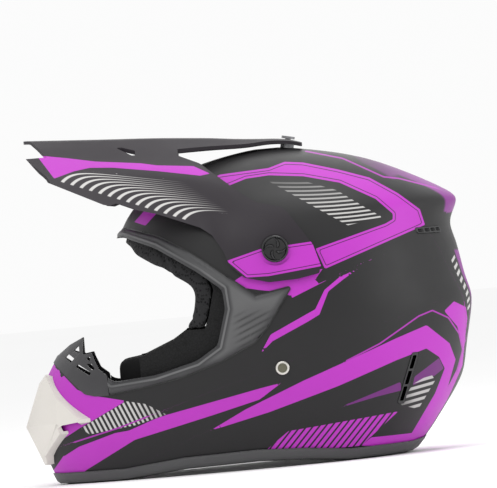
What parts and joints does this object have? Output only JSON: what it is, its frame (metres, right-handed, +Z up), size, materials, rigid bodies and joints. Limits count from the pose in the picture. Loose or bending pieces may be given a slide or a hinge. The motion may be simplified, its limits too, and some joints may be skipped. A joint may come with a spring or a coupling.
{
  "type": "motocross helmet",
  "caption": "Off-road helmet with a long tilting peak, open eyeport, jutting chin bar with a faceted vent cover, foam liner, pads and a chin strap.",
  "frame": {"origin": "under the middle of the whole helmet, on the surface it stands on with its lower rim", "axes": "+Z up, the face looks along -Y, +X is the wearer's left"},
  "size_m": [0.2598, 0.3782, 0.2863],
  "materials": {
    "shell": "matt paint",
    "trim_rubber": "satin",
    "vent_plastic": "matt",
    "filter_foam": "open foam",
    "silver_plastic": "satin",
    "eps_foam": "moulded bead foam",
    "liner_fabric": "mesh",
    "pad_fabric": "brushed",
    "brass": "turned",
    "knob_plastic": "gloss",
    "screw_steel": "blackened",
    "rivet_steel": "satin",
    "hanger_steel": "zinc plated",
    "webbing": "woven",
    "ring_steel": "polished",
    "snap_metal": "satin",
    "snap_plastic": "gloss"
  },
  "bodies": {
    "helmet": {"outer_shell": "shell", "eyeport_trim": "trim_rubber", "bottom_trim": "trim_rubber", "nose_guard": "trim_rubber", "rear_vent_grille_left": "vent_plastic", "rear_vent_grille_right": "vent_plastic", "side_vent_louvre_left": "vent_plastic", "side_vent_louvre_right": "vent_plastic", "chin_vent_grille": "vent_plastic", "chin_filter_foam": "filter_foam", "chin_vent_cover": "silver_plastic", "eps_crown_left": "eps_foam", "eps_crown_right": "eps_foam", "eps_chin": "eps_foam", "crown_liner": "liner_fabric", "brow_pad": "liner_fabric", "neck_roll": "liner_fabric", "cheek_pad_left": "pad_fabric", "cheek_pad_right": "pad_fabric", "pivot_insert_left": "brass", "pivot_insert_right": "brass", "tail_insert": "brass", "strap_rivet_left": "rivet_steel", "strap_rivet_right": "rivet_steel"},
    "peak": {"peak": "shell"},
    "knob_left": {"visor_knob_left": "knob_plastic"},
    "knob_right": {"visor_knob_right": "knob_plastic"},
    "tail_screw": {"tail_screw": "screw_steel"},
    "strap_left": {"strap_hanger_left": "hanger_steel", "strap_webbing_left": "webbing"},
    "ring_inner": {"d_ring_inner": "ring_steel"},
    "ring_outer": {"d_ring_outer": "ring_steel"},
    "strap_right": {"strap_hanger_right": "hanger_steel", "strap_webbing_right": "webbing", "snap_stud": "snap_metal", "snap_socket": "snap_plastic"}
  },
  "joints": [
    {"name": "peak_tilt", "type": "hinge", "parent": "helmet", "child": "peak", "pos_m": [0, 0.029, 0.178], "axis": [-1, 0, 0], "range_deg": [-3, 4]},
    {"name": "knob_left_turn", "type": "hinge", "parent": "helmet", "child": "knob_left", "pos_m": [0.128, 0.029, 0.178], "axis": [1, 0, 0], "continuous": true},
    {"name": "knob_right_turn", "type": "hinge", "parent": "helmet", "child": "knob_right", "pos_m": [-0.128, 0.029, 0.178], "axis": [-1, 0, 0], "continuous": true},
    {"name": "tail_screw_turn", "type": "hinge", "parent": "helmet", "child": "tail_screw", "pos_m": [0, 0.0487, 0.26684], "axis": [0, 0.2164, 0.9763], "continuous": true},
    {"name": "strap_left_swing", "type": "hinge", "parent": "helmet", "child": "strap_left", "pos_m": [0.107, 0.026, 0.081], "axis": [1, 0, 0], "range_deg": [-10, 10]},
    {"name": "strap_right_swing", "type": "hinge", "parent": "helmet", "child": "strap_right", "pos_m": [-0.107, 0.026, 0.081], "axis": [1, 0, 0], "range_deg": [-10, 10]},
    {"name": "ring_inner_swing", "type": "hinge", "parent": "strap_left", "child": "ring_inner", "pos_m": [0.0535, 0.026, 0.0591], "axis": [0, 1, 0], "range_deg": [0, 15]},
    {"name": "ring_outer_swing", "type": "hinge", "parent": "strap_left", "child": "ring_outer", "pos_m": [0.0535, 0.026, 0.0656], "axis": [0, 1, 0], "range_deg": [0, 60]}
  ]
}
